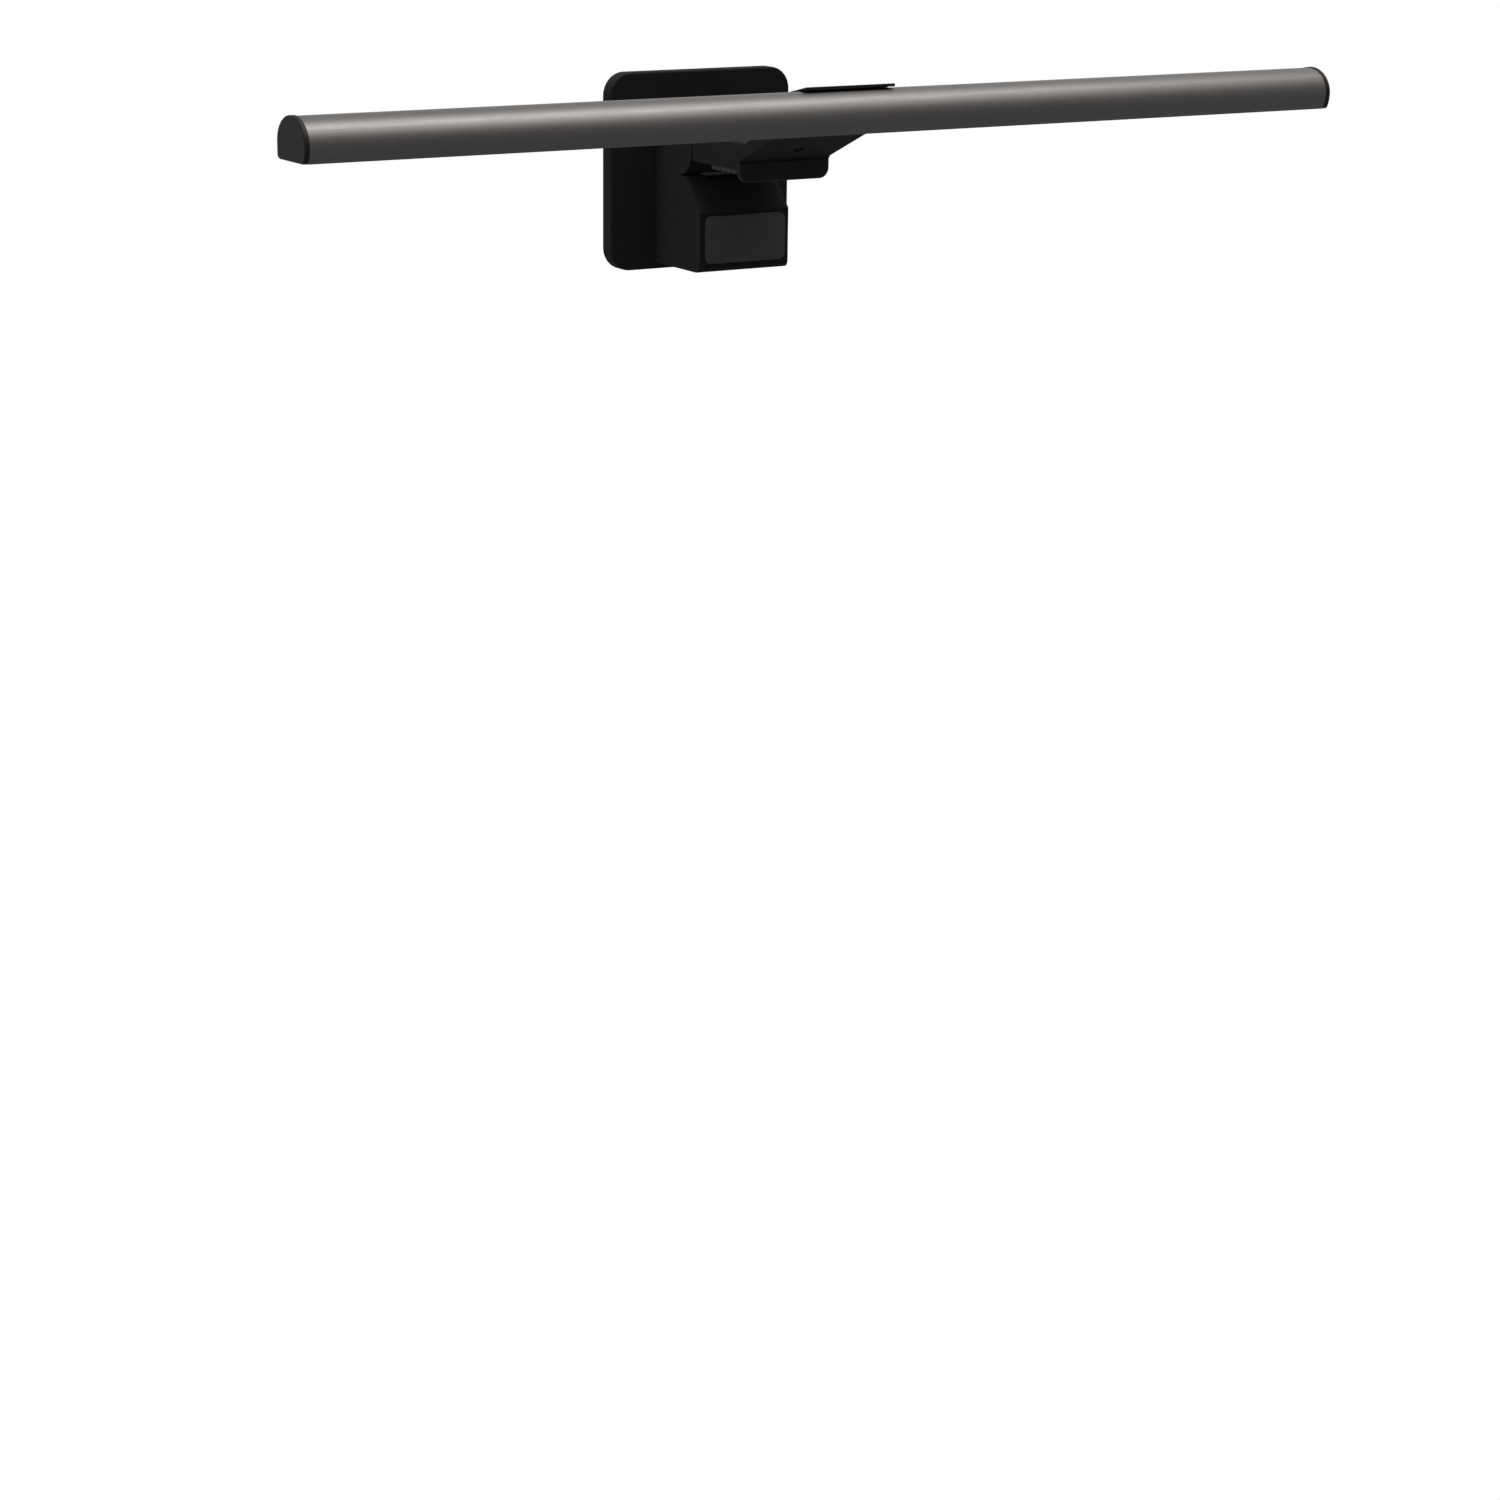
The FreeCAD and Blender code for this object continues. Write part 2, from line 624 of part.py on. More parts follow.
def leg_spring():
    pitch = spring_wire + 0.3
    height = pitch * spring_turns
    helix = Part.makeHelix(pitch, height, spring_coil_radius)
    ring = Part.Wire(Part.Circle(V(spring_coil_radius, 0, 0), ALONG_Y, spring_wire / 2).toShape())
    coil = Part.Wire(helix.Edges).makePipeShell([ring], True, True)
    coil.rotate(CENTRE, ALONG_Y, 90)
    coil.translate(V(-height / 2, leg_axis_y, leg_axis_z))
    return coil


# Leg behind the monitor

def leg_block():
    top_y = leg_axis_y - 6.5
    outline = [(leg_front_y, leg_bottom_z), (leg_front_y, leg_pad_top_z),
               (top_y, leg_axis_z - cheek_radius - 0.7), (leg_axis_y, leg_axis_z - cheek_radius),
               (leg_axis_y, leg_axis_z + cheek_radius), (plate_front_y, leg_axis_z + cheek_radius - 2),
               (plate_front_y, leg_bottom_z)]
    body = prism_x(outline, -arm_half, arm_half)
    body = round_corners(body, ALONG_X, 3.0,
                         lambda point: point.z < leg_pad_top_z - 1 and point.y < leg_front_y + 1)
    body = body.fuse(rod_x(cheek_radius, -arm_half, arm_half, leg_axis_y, leg_axis_z))
    fork_floor = leg_axis_z - tongue_barrel_radius - 6.5
    body = body.cut(box(-cheek_start, cheek_start, leg_front_y - 1, plate_front_y - 5,
                        fork_floor, leg_axis_z + cheek_radius + 1))
    body = body.cut(rod_x(leg_pin_radius + shaft_gap, -arm_half - 1, arm_half + 1, leg_axis_y, leg_axis_z))
    cap_radius = leg_pin_radius + pin_cap_edge + seat_gap
    for pocket in both_sides(rod_x(cap_radius, arm_half - pin_cap_thick, arm_half + 1,
                                   leg_axis_y, leg_axis_z)):
        body = body.cut(pocket)
    body = body.cut(box(-arm_half + leg_wall, arm_half - leg_wall, leg_front_y + leg_wall, plate_front_y + 1,
                        leg_bottom_z + leg_wall, leg_pad_top_z + 1.0))
    for x, z in leg_screw_places():
        body = body.cut(rod_y(leg_screw_radius + shaft_gap, plate_front_y - 6, plate_front_y + 1, x, z))
    return body.removeSplitter()


def leg_screw_places():
    low_z = leg_bottom_z + leg_wall / 2
    high_z = leg_axis_z + 3.0
    return [(side * 17.0, z) for side in (-1, 1) for z in (low_z, high_z)]


def counterweight():
    return box(-arm_half + leg_wall + weight_gap, arm_half - leg_wall - weight_gap,
               leg_front_y + leg_wall + weight_gap, plate_front_y - 4,
               leg_bottom_z + leg_wall, leg_pad_top_z + 1.0 - weight_gap)


def leg_pad():
    pad = box(-arm_half + 2.5, arm_half - 2.5, leg_pad_front_y, leg_front_y,
              leg_bottom_z + 4.0, leg_pad_top_z - 1.5)
    return round_corners(pad, ALONG_Y, 3.0, lambda point: True)


def leg_pin():
    half = arm_half - pin_cap_thick
    return rod_x(leg_pin_radius, -half, half, leg_axis_y, leg_axis_z)


def inlet_middle_y():
    return plate_front_y + plate_wall + inlet_height / 2 + slip_gap


def inlet_body(grow, z0, z1):
    half_y = inlet_height / 2 + grow
    half_x = inlet_width / 2 + grow
    middle = inlet_middle_y()
    tube = box(-half_x, half_x, middle - half_y, middle + half_y, z0, z1)
    return round_corners(tube, ALONG_Z, half_y * 0.92, lambda point: True)


def backlight_housing():
    half = plate_width / 2
    slab = rounded_slab_y(half, plate_bottom_z, plate_top_z, plate_corner, plate_front_y, shell_back_y)
    rim = [edge for edge in slab.Edges if abs(edge.CenterOfMass.y - plate_front_y) < 0.01]
    slab = slab.makeChamfer(0.6, rim)
    hollow = rounded_slab_y(half - plate_wall, plate_bottom_z + plate_wall, plate_top_z - plate_wall,
                            plate_corner - plate_wall, plate_front_y + plate_wall, shell_back_y + 1)
    slab = slab.cut(hollow)
    slab = slab.cut(inlet_body(slip_gap / 2, plate_bottom_z - 1, plate_bottom_z + plate_wall + 1))
    for x, z in leg_screw_places():
        slab = slab.cut(rod_y(leg_screw_radius + shaft_gap, plate_front_y - 1, shell_back_y, x, z))
        slab = slab.cut(rod_y(leg_screw_head + slip_gap, plate_front_y + 0.9, shell_back_y, x, z))
    return slab


def leg_screws():
    head_y = plate_front_y + plate_wall
    return Part.makeCompound([screw(V(x, head_y, z), V(0, -1, 0), leg_screw_radius, leg_screw_head, 1.0, 7.5)
                              for x, z in leg_screw_places()])


def backlight_bezel():
    half = plate_width / 2
    frame = rounded_slab_y(half, plate_bottom_z, plate_top_z, plate_corner, shell_back_y, plate_back_y)
    rim = [edge for edge in frame.Edges if abs(edge.CenterOfMass.y - plate_back_y) < 0.01]
    frame = frame.makeChamfer(0.8, rim)
    return frame.cut(rounded_slab_y(window_width / 2, window_bottom_z, window_top_z, window_corner,
                                    shell_back_y - 1, plate_back_y + 1))


def backlight_diffuser():
    half = window_width / 2
    flange = rounded_slab_y(half + window_rebate, window_bottom_z - window_rebate,
                            window_top_z + window_rebate, window_corner + window_rebate,
                            shell_back_y - 1.0, shell_back_y)
    lens = rounded_slab_y(half - slip_gap, window_bottom_z + slip_gap, window_top_z - slip_gap,
                          window_corner - slip_gap, shell_back_y, plate_back_y - window_recess)
    return fuse([flange, lens])


def backlight_led_board():
    y = plate_front_y + plate_wall
    board = box(-window_width / 2, window_width / 2, y, y + back_board_thick,
                window_bottom_z, window_top_z)
    return board


def backlight_leds():
    y = plate_front_y + plate_wall + back_board_thick
    step_x = window_width / back_led_columns
    step_z = (window_top_z - window_bottom_z) / back_led_rows
    middle_z = (window_top_z + window_bottom_z) / 2
    half = back_led_size / 2
    leds = []
    for column in range(back_led_columns):
        for row in range(back_led_rows):
            x = (column - (back_led_columns - 1) / 2) * step_x
            z = middle_z + (row - (back_led_rows - 1) / 2) * step_z
            leds.append(box(x - half, x + half, y, y + back_led_thick, z - half, z + half))
    return Part.makeCompound(leds)


def usb_c_inlet():
    top = plate_bottom_z + inlet_depth
    shell = inlet_body(0, plate_bottom_z, top)
    shell = shell.cut(inlet_body(-inlet_wall, plate_bottom_z - 1, top - 1.0))
    middle = inlet_middle_y()
    tongue = box(-inlet_width / 2 + 1.4, inlet_width / 2 - 1.4, middle - 0.35, middle + 0.35,
                 plate_bottom_z + 1.0, top - 1.0)
    return fuse([shell, tongue])


pieces = {
    "bar_extrusion": bar_extrusion,
    "bar_diffuser": bar_diffuser,
    "bar_led_board": bar_led_board,
    "bar_leds": bar_leds,
    "bar_reflector": bar_reflector,
    "left_end_cap": lambda: end_cap(-1),
    "right_end_cap": lambda: end_cap(1),
    "bar_saddle": bar_saddle,
    "saddle_screws": saddle_screws,
    "tilt_pin_caps": lambda: pin_caps(tilt_pin_radius, saddle_half, tilt_axis_y, tilt_axis_z),
    "tilt_pin": tilt_pin,
    "friction_washers": friction_washers,
    "arm_housing": arm_housing,
    "arm_top_cover": arm_top_cover,
    "cover_screws": cover_screws,
    "front_hook": front_hook,
    "hook_screws": hook_screws,
    "lip_pad": lip_pad,
    "seat_pad": seat_pad,
    "presence_sensor": presence_sensor,
    "sensor_ring": sensor_ring,
    "driver_board": driver_board,
    "board_components": board_components,
    "leg_bushes": leg_bushes,
    "leg_spring": leg_spring,
    "leg_block": leg_block,
    "counterweight": counterweight,
    "leg_pad": leg_pad,
    "leg_pin": leg_pin,
    "leg_pin_caps": lambda: pin_caps(leg_pin_radius, arm_half, leg_axis_y, leg_axis_z),
    "leg_screws": leg_screws,
    "backlight_housing": backlight_housing,
    "backlight_bezel": backlight_bezel,
    "backlight_diffuser": backlight_diffuser,
    "backlight_led_board": backlight_led_board,
    "backlight_leds": backlight_leds,
    "usb_c_inlet": usb_c_inlet,
}

os.makedirs("parts", exist_ok=True)
for name, make in pieces.items():
    save(name, make())
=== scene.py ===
import json
import math

import bpy
import numpy as np
from mathutils import Euler, Matrix, Vector


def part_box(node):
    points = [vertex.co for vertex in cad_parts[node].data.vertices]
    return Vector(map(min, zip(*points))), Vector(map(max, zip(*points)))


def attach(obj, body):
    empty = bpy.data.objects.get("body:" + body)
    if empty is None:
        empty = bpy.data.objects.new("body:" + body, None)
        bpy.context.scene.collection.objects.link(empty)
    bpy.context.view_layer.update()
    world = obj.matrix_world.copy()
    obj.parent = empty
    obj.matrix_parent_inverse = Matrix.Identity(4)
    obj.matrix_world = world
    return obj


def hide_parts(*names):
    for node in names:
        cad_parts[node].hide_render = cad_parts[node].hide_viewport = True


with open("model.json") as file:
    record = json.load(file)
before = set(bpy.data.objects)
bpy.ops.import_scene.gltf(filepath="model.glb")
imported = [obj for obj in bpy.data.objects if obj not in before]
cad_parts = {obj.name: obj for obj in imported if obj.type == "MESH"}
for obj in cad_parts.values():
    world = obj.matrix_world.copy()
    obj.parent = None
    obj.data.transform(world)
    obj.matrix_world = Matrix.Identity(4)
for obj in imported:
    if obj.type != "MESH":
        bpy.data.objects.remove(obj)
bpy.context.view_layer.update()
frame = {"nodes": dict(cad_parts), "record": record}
nodes = frame["nodes"]

MM = 0.001

# Viewpoint
CAMERA_PLACE = (-0.7959, -1.2817, 0.1758)
CAMERA_TURN = 31.69         # degrees to the right of straight ahead
CAMERA_DIP = 16.134         # degrees below level
CAMERA_ROLL = 0.697
CAMERA_LENS = 83.49

FLOOR_DROP = 0.42           # the desk lies this far below the lamp

# Section of the lamp, as the CAD has it
BAR_WALL = 1.3 * MM
BAR_WIDEST = 6.8 * MM       # widest level above the underside
BAR_SWEEP = 13.3 * MM       # half-height of the ellipse of the front side below that level
BAR_SLOT = 16.0 * MM
SHELF_UNDER = 7.0 * MM
SHELF_THICK = 1.2 * MM
SENSOR_RADIUS = 1.5 * MM
SENSOR_LEAN = 23.3          # degrees, slope of the face the sensor sits in

# Details finer than the CAD
END_EASE = 0.15 * MM        # edge break on the lamp's sawn ends
LIP_EASE = 0.25 * MM        # edge break on the lips beside the light slot
MOULD_EDGE = 0.35 * MM      # radius that moulded edges catch the light with
THREAD_PITCH = 0.45 * MM
THREAD_ROOT = 0.86          # share of the shank's radius at the bottom of the thread
SCREW_SIDES = 24
CONTACTS = 12               # on each side of the inlet's tongue
CONTACT_LIFT = 0.06 * MM
LENS_SIDES = 32
LENS_DEPTH = 0.45 * MM      # rim of the sensor's lens behind the face of its ring
# rise in millimetres and share of the radius, from the back of the lens to its middle
LENS_DOME = [(-0.3, 1.0), (0.0, 1.0), (0.12, 0.94), (0.22, 0.8), (0.3, 0.6), (0.34, 0.35), (0.36, 0.12)]


# Node helpers

class Recipe:
    """A material's node tree with short ways to add what the finishes need."""

    def __init__(self, name):
        self.material = bpy.data.materials.new(name)
        self.material.use_nodes = True
        self.tree = self.material.node_tree
        self.tree.nodes.clear()
        self.output = self.add("ShaderNodeOutputMaterial")
        self.shader = self.add("ShaderNodeBsdfPrincipled")
        self.link(self.shader.outputs["BSDF"], self.output.inputs["Surface"])
        self.place = self.add("ShaderNodeTexCoord").outputs["Object"]

    def add(self, kind, **values):
        node = self.tree.nodes.new(kind)
        for key, value in values.items():
            setattr(node, key, value)
        return node

    def link(self, source, target):
        self.tree.links.new(source, target)

    def noise(self, scale, detail=3.0, stretch=(1, 1, 1), roughness=0.55):
        mapping = self.add("ShaderNodeMapping")
        mapping.inputs["Scale"].default_value = stretch
        self.link(self.place, mapping.inputs["Vector"])
        noise = self.add("ShaderNodeTexNoise")
        noise.inputs["Scale"].default_value = scale
        noise.inputs["Detail"].default_value = detail
        noise.inputs["Roughness"].default_value = roughness
        self.link(mapping.outputs["Vector"], noise.inputs["Vector"])
        return noise.outputs["Fac"]

    def ramp(self, source, stops):
        ramp = self.add("ShaderNodeValToRGB")
        elements = ramp.color_ramp.elements
        while len(elements) < len(stops):
            elements.new(0.5)
        for element, (position, colour) in zip(elements, stops):
            element.position = position
            element.color = (*colour, 1.0)
        self.link(source, ramp.inputs["Fac"])
        return ramp.outputs["Color"]

    def span(self, source, low, high):
        spread = self.add("ShaderNodeMapRange")
        spread.inputs["From Min"].default_value = 0.3
        spread.inputs["From Max"].default_value = 0.7
        spread.inputs["To Min"].default_value = low
        spread.inputs["To Max"].default_value = high
        self.link(source, spread.inputs["Value"])
        return spread.outputs["Result"]

    def bump(self, source, strength, distance, edge=0.0):
        """Bump from source, on edges softened to the radius edge."""
        bump = self.add("ShaderNodeBump")
        if edge:
            bevel = self.add("ShaderNodeBevel", samples=6)
            bevel.inputs["Radius"].default_value = edge
            self.link(bevel.outputs["Normal"], bump.inputs["Normal"])
        bump.inputs["Strength"].default_value = strength
        bump.inputs["Distance"].default_value = distance
        self.link(source, bump.inputs["Height"])
        self.link(bump.outputs["Normal"], self.shader.inputs["Normal"])

    def set(self, **values):
        for key, value in values.items():
            socket = self.shader.inputs[key.replace("_", " ")]
            socket.default_value = (*value, 1.0) if isinstance(value, tuple) else value

    def mottled(self, colour, spread, scale, stretch=(1, 1, 1)):
        """Base colour that wanders a little either side of colour."""
        dark = tuple(channel * (1 - spread) for channel in colour)
        light = tuple(min(1.0, channel * (1 + spread)) for channel in colour)
        fac = self.noise(scale, stretch=stretch)
        self.link(self.ramp(fac, [(0.35, dark), (0.65, light)]), self.shader.inputs["Base Color"])


def blasted_aluminium():
    """Bead-blasted, anodised extrusion: fine grain with faint drawing lines along its length."""
    recipe = Recipe("bar_anodised")
    recipe.mottled((0.0435, 0.0405, 0.0385), 0.14, 2600)
    recipe.set(Metallic=0.85)
    recipe.link(recipe.span(recipe.noise(900, stretch=(0.05, 1, 1)), 0.47, 0.53),
                recipe.shader.inputs["Roughness"])
    recipe.bump(recipe.noise(3800, detail=2.0), 0.16, 0.00006)
    return recipe.material


def textured_plastic(name, colour, roughness, specular, strength=0.2, grain=2600):
    """Spark-eroded mould texture on near-black plastic, or sprayed paint."""
    recipe = Recipe(name)
    recipe.mottled(colour, 0.12, grain)
    recipe.set(Specular_IOR_Level=specular)
    recipe.link(recipe.span(recipe.noise(grain / 3), roughness - 0.05, roughness + 0.05),
                recipe.shader.inputs["Roughness"])
    recipe.bump(recipe.noise(grain, detail=2.0), strength, 0.00008, MOULD_EDGE)
    return recipe.material


def opal_diffuser():
    """Opal acrylic with fine prisms along the lamp."""
    recipe = Recipe("opal")
    recipe.mottled((0.80, 0.795, 0.775), 0.02, 60)
    recipe.set(Subsurface_Weight=0.25, Subsurface_Scale=0.003, Specular_IOR_Level=0.4)
    recipe.link(recipe.span(recipe.noise(400), 0.38, 0.46), recipe.shader.inputs["Roughness"])
    recipe.bump(recipe.noise(1500, detail=1.0, stretch=(0.02, 1, 1)), 0.15, 0.0001)
    return recipe.material


def silicone():
    recipe = Recipe("silicone")
    recipe.mottled((0.020, 0.020, 0.021), 0.15, 900)
    recipe.set(Specular_IOR_Level=0.25)
    recipe.link(recipe.span(recipe.noise(700), 0.62, 0.75), recipe.shader.inputs["Roughness"])
    recipe.bump(recipe.noise(3000), 0.12, 0.00006)
    return recipe.material


def turned_steel(name, colour, roughness):
    recipe = Recipe(name)
    recipe.mottled(colour, 0.08, 500, stretch=(6, 0.4, 0.4))
    recipe.set(Metallic=1.0)
    recipe.link(recipe.span(recipe.noise(1400, stretch=(8, 0.4, 0.4)), roughness - 0.06, roughness + 0.06),
                recipe.shader.inputs["Roughness"])
    recipe.bump(recipe.noise(1800, stretch=(8, 0.4, 0.4)), 0.1, 0.00003)
    return recipe.material


def plain_part(name, colour, roughness, spread=0.06, scale=500):
    recipe = Recipe(name)
    recipe.mottled(colour, spread, scale)
    recipe.link(recipe.span(recipe.noise(scale * 1.5), roughness - 0.04, roughness + 0.04),
                recipe.shader.inputs["Roughness"])
    recipe.bump(recipe.noise(scale * 4), 0.08, 0.00005)
    return recipe.material


def rough_iron():
    recipe = Recipe("iron")
    recipe.mottled((0.11, 0.105, 0.10), 0.3, 220)
    recipe.set(Metallic=0.7)
    recipe.link(recipe.span(recipe.noise(300), 0.5, 0.75), recipe.shader.inputs["Roughness"])
    recipe.bump(recipe.noise(700, detail=6.0), 0.4, 0.0002)
    return recipe.material


finishes = {
    "bar_metal": blasted_aluminium(),
    "diffuser_opal": opal_diffuser(),
    "led_board_white": plain_part("board_white", (0.78, 0.79, 0.78), 0.45),
    "led_phosphor": plain_part("phosphor", (0.85, 0.66, 0.22), 0.35),
    "reflector_white": plain_part("reflector", (0.82, 0.82, 0.81), 0.3),
    "trim_dark": textured_plastic("trim", (0.0190, 0.0178, 0.0168), 0.6, 0.055),
    "clamp_dark": textured_plastic("clamp_plastic", (0.0260, 0.0254, 0.0250), 0.8, 0.015),
    "hook_metal": textured_plastic("hook_paint", (0.0200, 0.0196, 0.0193), 0.65, 0.05, 0.12),
    "steel": turned_steel("steel_turned", (0.52, 0.52, 0.51), 0.28),
    "screw_black": turned_steel("steel_blackened", (0.045, 0.045, 0.047), 0.42),
    "weight_iron": rough_iron(),
    "pad_rubber": silicone(),
    "board_green": plain_part("solder_mask", (0.015, 0.12, 0.05), 0.35, 0.15),
    "component_black": plain_part("moulded_black", (0.02, 0.02, 0.021), 0.4),
    "sensor_black": textured_plastic("sensor_lens", (0.002, 0.002, 0.003), 0.25, 0.01, 0.02),
    "ring_dark": textured_plastic("sensor_ring", (0.006, 0.0059, 0.0058), 0.8, 0.01, 0.05),
    "bush_white": plain_part("acetal", (0.70, 0.69, 0.64), 0.45),
    "inlet_steel": turned_steel("plated", (0.62, 0.62, 0.60), 0.22),
}


def smooth_curves(mesh, limit=25.0):
    """Rounded faces shade smoothly and faces that meet at more than limit degrees stay crisp."""
    count = len(mesh.loops)
    places = np.zeros(len(mesh.vertices) * 3)
    mesh.vertices.foreach_get("co", places)
    corner_vertex = np.zeros(count, dtype=np.int64)
    mesh.loops.foreach_get("vertex_index", corner_vertex)
    normals = np.zeros(len(mesh.polygons) * 3)
    mesh.polygons.foreach_get("normal", normals)
    normals = normals.reshape(-1, 3)
    areas = np.zeros(len(mesh.polygons))
    mesh.polygons.foreach_get("area", areas)
    sides = np.zeros(len(mesh.polygons), dtype=np.int64)
    mesh.polygons.foreach_get("loop_total", sides)
    face = np.repeat(np.arange(len(mesh.polygons)), sides)
    keys = np.round(places.reshape(-1, 3)[corner_vertex] * 1e6).astype(np.int64)
    shared = np.unique(keys, axis=0, return_inverse=True)[1].reshape(-1)
    order = np.argsort(shared, kind="stable")
    starts = np.flatnonzero(np.diff(shared[order], prepend=-1))
    result = normals[face].copy()
    least = math.cos(math.radians(limit))
    for start, end in zip(starts, np.append(starts[1:], count)):
        corners = order[start:end]
        own = normals[face[corners]]
        near = (own @ own.T > least) * areas[face[corners]]
        result[corners] = near @ own
    result /= np.maximum(np.linalg.norm(result, axis=1, keepdims=True), 1e-12)
    mesh.polygons.foreach_set("use_smooth", np.ones(len(mesh.polygons), dtype=bool))
    mesh.normals_split_custom_set(result)


def dress_nodes():
    """Give every CAD node the finish of its material slot and smooth its curved faces."""
    slots = {row["node"]: row["material_slot"] for row in frame["record"]["subparts"]}
    for name, obj in nodes.items():
        obj.data.materials.clear()
        obj.data.materials.append(finishes[slots[name]])
        smooth_curves(obj.data)


# Pieces

def new_piece(name, vertices, faces, slot, body, stands_for=()):
    mesh = bpy.data.meshes.new(name)
    mesh.from_pydata(vertices, [], faces)
    mesh.validate()
    mesh.update()
    mesh.materials.append(finishes[slot])
    smooth_curves(mesh)
    piece = bpy.data.objects.new(name, mesh)
    bpy.context.scene.collection.objects.link(piece)
    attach(piece, body)
    if stands_for:
        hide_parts(*stands_for)
    return piece


def bar_outline(middle_y, half, low_z, high_z, inset, dome_steps=48, side_steps=12):
    """Points (y, z) of the lamp's section, from the rear of its underside over the top to the front."""
    widest = low_z + BAR_WIDEST
    floor = low_z + inset
    sweep = BAR_SWEEP - inset
    foot = math.asin((widest - floor) / sweep)
    reach = half - inset
    rise = high_z - widest - inset
    points = [(reach, floor + (widest - floor) * step / side_steps) for step in range(side_steps + 1)]
    for step in range(1, dome_steps + 1):
        turn = math.pi * step / dome_steps
        points.append((math.cos(turn) * reach, widest + math.sin(turn) * rise))
    for step in range(1, side_steps + 1):
        turn = -foot * step / side_steps
        points.append((-math.cos(turn) * reach, widest + math.sin(turn) * sweep))
    return [(middle_y + y, z) for y, z in points]


def cuboid_faces(start):
    """Faces of a cuboid whose eight corners begin at start and step in z, then y, then x."""
    corners = [(0, 1, 3, 2), (4, 6, 7, 5), (0, 4, 5, 1), (2, 3, 7, 6), (0, 2, 6, 4), (1, 5, 7, 3)]
    return [tuple(start + index for index in corner) for corner in corners]


def skin(start, rings, sides):
    """Faces between rings that follow each other, each with the same number of sides."""
    faces = []
    for row in range(start, start + (rings - 1) * sides, sides):
        for side in range(sides):
            ahead = (side + 1) % sides
            faces.append((row + side, row + ahead, row + sides + ahead, row + sides + side))
    return faces


def end_face(base, skin_points, lip_points, count, flip):
    """End of the lamp, as a strip between the outer and the inner skin with a face at each lip."""
    first_inner = skin_points + lip_points
    last = skin_points - 1
    faces = []
    for index in range(last):
        faces.append((base + index, base + first_inner + last - index,
                      base + first_inner + last - 1 - index, base + index + 1))
    faces.append((base + last, base + first_inner, base + last + 3, base + last + 2, base + last + 1))
    faces.append((base, base + count - 1, base + count - 2, base + count - 3, base + first_inner + last))
    return faces if flip else [face[::-1] for face in faces]


def make_bar():
    """The extrusion: outer skin, lips beside the light slot, inner skin and shelf, with eased ends."""
    low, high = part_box("bar_extrusion")
    middle = (low.y + high.y) / 2
    half = (high.y - low.y) / 2
    slot = BAR_SLOT / 2
    outer = bar_outline(middle, half, low.z, high.z, 0)
    eased = bar_outline(middle, half, low.z, high.z, END_EASE)
    inner = bar_outline(middle, half, low.z, high.z, BAR_WALL)[::-1]
    lip = [(slot + LIP_EASE, low.z), (slot, low.z + LIP_EASE), (slot, low.z + BAR_WALL)]
    lip_front = [(middle - y, z) for y, z in lip]
    lip_rear = [(middle + y, z) for y, z in lip[::-1]]
    ring = outer + lip_front + inner + lip_rear
    eased_ring = eased + lip_front + inner + lip_rear
    pieces = 40
    first = low.x + END_EASE
    span = high.x - low.x - 2 * END_EASE
    stations = [(low.x, eased_ring)]
    stations += [(first + span * step / pieces, ring) for step in range(pieces + 1)]
    stations.append((high.x, eased_ring))
    count = len(ring)
    vertices = [(x, y, z) for x, points in stations for y, z in points]
    faces = skin(0, len(stations), count)
    faces += end_face(0, len(outer), len(lip), count, False)
    faces += end_face((len(stations) - 1) * count, len(outer), len(lip), count, True)
    shelf_low = low.z + SHELF_UNDER
    reach = half - BAR_WALL * 0.9
    faces += cuboid_faces(len(vertices))
    vertices += [(x, middle + side * reach, z) for x in (low.x, high.x) for side in (-1, 1)
                 for z in (shelf_low, shelf_low + SHELF_THICK)]
    new_piece("bar_body", vertices, faces, "bar_metal", "light_bar", ("bar_extrusion",))


def islands(name):
    """Corner places of each separate solid of a CAD node."""
    mesh = nodes[name].data
    places = np.zeros(len(mesh.vertices) * 3)
    mesh.vertices.foreach_get("co", places)
    places = places.reshape(-1, 3)
    whole = np.round(places * 1e6).astype(np.int64)
    keys = np.unique(whole, axis=0, return_inverse=True)[1].reshape(-1)
    parent = list(range(keys.max() + 1))

    def root(index):
        while parent[index] != index:
            parent[index] = parent[parent[index]]
            index = parent[index]
        return index

    for polygon in mesh.polygons:
        corners = [keys[index] for index in polygon.vertices]
        for corner in corners[1:]:
            parent[root(corner)] = root(corners[0])
    groups = {}
    for index, key in enumerate(keys):
        groups.setdefault(root(key), []).append(index)
    return [np.unique(np.round(places[indices], 7), axis=0) for indices in groups.values()]


def screw_frame(points):
    """Middle of the head's outer face, way into the material, length, two radii and the head's height."""
    sizes, spread = np.linalg.svd(points - points.mean(axis=0), full_matrices=False)[1:]
    # a screw is as wide one way as the other across its axis
    pairs = ((1, 2), (0, 2), (0, 1))
    evenness = [abs(sizes[first] - sizes[second]) / sizes[first] for first, second in pairs]
    axis = spread[int(np.argmin(evenness))]
    along = points @ axis
    across = points - np.outer(along, axis)
    centre = (across.max(axis=0) + across.min(axis=0)) / 2
    radius = np.linalg.norm(across - centre, axis=1)
    near = 0.01 * MM
    if radius[along < along.min() + near].max() < radius[along > along.max() - near].max():
        axis, along = -axis, -along
    head = radius.max()
    shank = radius[along > along.max() - near].max()
    head_end = along[radius > head * 0.97].max() - along.min()
    return centre + axis * along.min(), axis, along.max() - along.min(), head, shank, head_end


